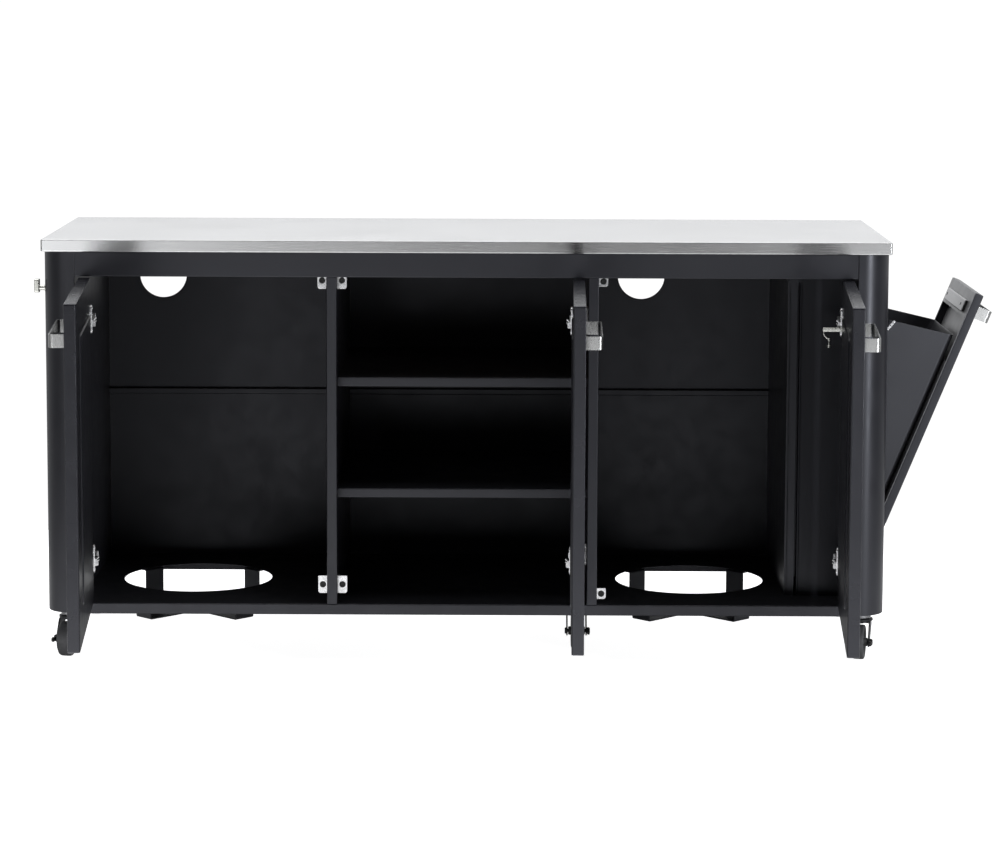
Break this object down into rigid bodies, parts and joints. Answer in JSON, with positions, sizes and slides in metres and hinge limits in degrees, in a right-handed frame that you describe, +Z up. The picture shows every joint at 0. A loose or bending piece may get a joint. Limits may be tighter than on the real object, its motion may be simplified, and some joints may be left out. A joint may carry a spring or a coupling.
{
  "type": "outdoor kitchen base cabinet on castors",
  "caption": "Long wheeled outdoor kitchen cabinet with a steel worktop, side-hung doors, shelves, gas-bottle wells in the floor and a tilt-out bin in the side.",
  "frame": {"origin": "ground level, middle of the ground box of the whole unit as pictured, with its doors open and bin tilted out", "axes": "+Z up, +X to the viewer's right along the worktop, +Y to the back of the cabinet; the doors open towards -Y"},
  "size_m": [2.0628, 1.126, 0.91],
  "materials": {
    "brushed_top": "fine brushed stainless worktop",
    "core_board": "hidden packing board inside the worktop",
    "coated_steel": "anthracite powder coat, satin",
    "bin_grey": "dark grey coated sheet",
    "stainless": "brushed strip",
    "zinc": "bright zinc plate",
    "castor_steel": "black castor housing",
    "castor_tyre": "grey tread",
    "black_plastic": "black"
  },
  "bodies": {
    "cabinet": {"worktop_skin": "brushed_top", "worktop_core": "core_board", "left_side_shell": "coated_steel", "left_side_liner": "coated_steel", "right_side_shell": "coated_steel", "right_side_liner": "coated_steel", "top_front_rail": "coated_steel", "top_rear_rail": "coated_steel", "floor_pan": "coated_steel", "under_rails": "coated_steel", "left_divider": "coated_steel", "right_divider": "coated_steel", "back_panel_upper": "coated_steel", "back_panel_lower": "coated_steel", "shelves": "coated_steel", "shelf_pins": "zinc", "bin_partition": "coated_steel", "bin_front_cover": "coated_steel", "bottle_cradles": "coated_steel", "cradle_screws": "zinc", "castor_plates": "castor_steel", "catch_brackets": "zinc", "catch_magnets": "black_plastic", "hinge_arms": "zinc", "side_hook": "zinc", "bin_pivot_pins": "zinc"},
    "left_door": {"left_door_skin": "coated_steel", "left_door_liner": "coated_steel", "left_door_handle": "stainless", "left_door_hinges": "zinc"},
    "middle_door": {"middle_door_skin": "coated_steel", "middle_door_liner": "coated_steel", "middle_door_handle": "stainless", "middle_door_hinges": "zinc"},
    "right_door": {"right_door_skin": "coated_steel", "right_door_liner": "coated_steel", "right_door_handle": "stainless", "right_door_hinges": "zinc", "right_door_hook": "zinc"},
    "bin": {"bin_panel_skin": "coated_steel", "bin_panel_liner": "coated_steel", "bin_tub": "bin_grey", "bin_handle": "stainless", "bin_catch_channel": "zinc", "bin_stay": "zinc"},
    "castor_front_left": {"fork_front_left": "castor_steel"},
    "wheel_front_left_body": {"wheel_front_left": "castor_tyre"},
    "brake_left": {"brake_lever_left": "black_plastic"},
    "castor_front_middle": {"fork_front_middle": "castor_steel"},
    "wheel_front_middle_body": {"wheel_front_middle": "castor_tyre"},
    "brake_middle": {"brake_lever_middle": "black_plastic"},
    "castor_front_right": {"fork_front_right": "castor_steel"},
    "wheel_front_right_body": {"wheel_front_right": "castor_tyre"},
    "brake_right": {"brake_lever_right": "black_plastic"},
    "castor_rear_left": {"fork_rear_left": "castor_steel"},
    "wheel_rear_left_body": {"wheel_rear_left": "castor_tyre"},
    "castor_rear_middle": {"fork_rear_middle": "castor_steel"},
    "wheel_rear_middle_body": {"wheel_rear_middle": "castor_tyre"},
    "castor_rear_right": {"fork_rear_right": "castor_steel"},
    "wheel_rear_right_body": {"wheel_rear_right": "castor_tyre"}
  },
  "joints": [
    {"name": "left_door_hinge", "type": "hinge", "parent": "cabinet", "child": "left_door", "pos_m": [-0.92986, -0.02597, 0.485], "axis": [0, 0, 1], "range_deg": [-9.3, 85.7]},
    {"name": "middle_door_hinge", "type": "hinge", "parent": "cabinet", "child": "middle_door", "pos_m": [0.14314, -0.02597, 0.485], "axis": [0, 0, 1], "range_deg": [-88.9, 6.1]},
    {"name": "right_door_hinge", "type": "hinge", "parent": "cabinet", "child": "right_door", "pos_m": [0.71414, -0.02597, 0.485], "axis": [0, 0, 1], "range_deg": [-86.1, 8.9]},
    {"name": "bin_tilt", "type": "hinge", "parent": "cabinet", "child": "bin", "pos_m": [0.78214, 0.26803, 0.26], "axis": [0, 1, 0], "range_deg": [-22.1, 0]},
    {"name": "swivel_front_left", "type": "hinge", "parent": "cabinet", "child": "castor_front_left", "pos_m": [-0.96486, 0.06203, 0.094], "axis": [0, 0, 1], "continuous": true},
    {"name": "roll_front_left", "type": "hinge", "parent": "castor_front_left", "child": "wheel_front_left_body", "pos_m": [-0.97068, 0.03464, 0.0375], "axis": [-0.9781, 0.2079, 0], "continuous": true},
    {"name": "brake_left_press", "type": "hinge", "parent": "castor_front_left", "child": "brake_left", "pos_m": [-0.97068, 0.03464, 0.0375], "axis": [0.9781, -0.2079, 0], "range_deg": [0, 30]},
    {"name": "swivel_front_middle", "type": "hinge", "parent": "cabinet", "child": "castor_front_middle", "pos_m": [0.13414, 0.16703, 0.094], "axis": [0, 0, 1], "continuous": true},
    {"name": "roll_front_middle", "type": "hinge", "parent": "castor_front_middle", "child": "wheel_front_middle_body", "pos_m": [0.13414, 0.13903, 0.0375], "axis": [-1, 0, 0], "continuous": true},
    {"name": "brake_middle_press", "type": "hinge", "parent": "castor_front_middle", "child": "brake_middle", "pos_m": [0.13414, 0.13903, 0.0375], "axis": [1, 0, 0], "range_deg": [0, 30]},
    {"name": "swivel_front_right", "type": "hinge", "parent": "cabinet", "child": "castor_front_right", "pos_m": [0.74914, 0.06203, 0.094], "axis": [0, 0, 1], "continuous": true},
    {"name": "roll_front_right", "type": "hinge", "parent": "castor_front_right", "child": "wheel_front_right_body", "pos_m": [0.74332, 0.03464, 0.0375], "axis": [-0.9781, 0.2079, 0], "continuous": true},
    {"name": "brake_right_press", "type": "hinge", "parent": "castor_front_right", "child": "brake_right", "pos_m": [0.74332, 0.03464, 0.0375], "axis": [0.9781, -0.2079, 0], "range_deg": [0, 30]},
    {"name": "swivel_rear_left", "type": "hinge", "parent": "cabinet", "child": "castor_rear_left", "pos_m": [-0.96486, 0.51403, 0.094], "axis": [0, 0, 1], "continuous": true},
    {"name": "roll_rear_left", "type": "hinge", "parent": "castor_rear_left", "child": "wheel_rear_left_body", "pos_m": [-0.96486, 0.48603, 0.0375], "axis": [-1, 0, 0], "continuous": true},
    {"name": "swivel_rear_middle", "type": "hinge", "parent": "cabinet", "child": "castor_rear_middle", "pos_m": [0.13414, 0.51403, 0.094], "axis": [0, 0, 1], "continuous": true},
    {"name": "roll_rear_middle", "type": "hinge", "parent": "castor_rear_middle", "child": "wheel_rear_middle_body", "pos_m": [0.13414, 0.48603, 0.0375], "axis": [-1, 0, 0], "continuous": true},
    {"name": "swivel_rear_right", "type": "hinge", "parent": "cabinet", "child": "castor_rear_right", "pos_m": [0.74914, 0.51403, 0.094], "axis": [0, 0, 1], "continuous": true},
    {"name": "roll_rear_right", "type": "hinge", "parent": "castor_rear_right", "child": "wheel_rear_right_body", "pos_m": [0.74914, 0.48603, 0.0375], "axis": [-1, 0, 0], "continuous": true}
  ]
}
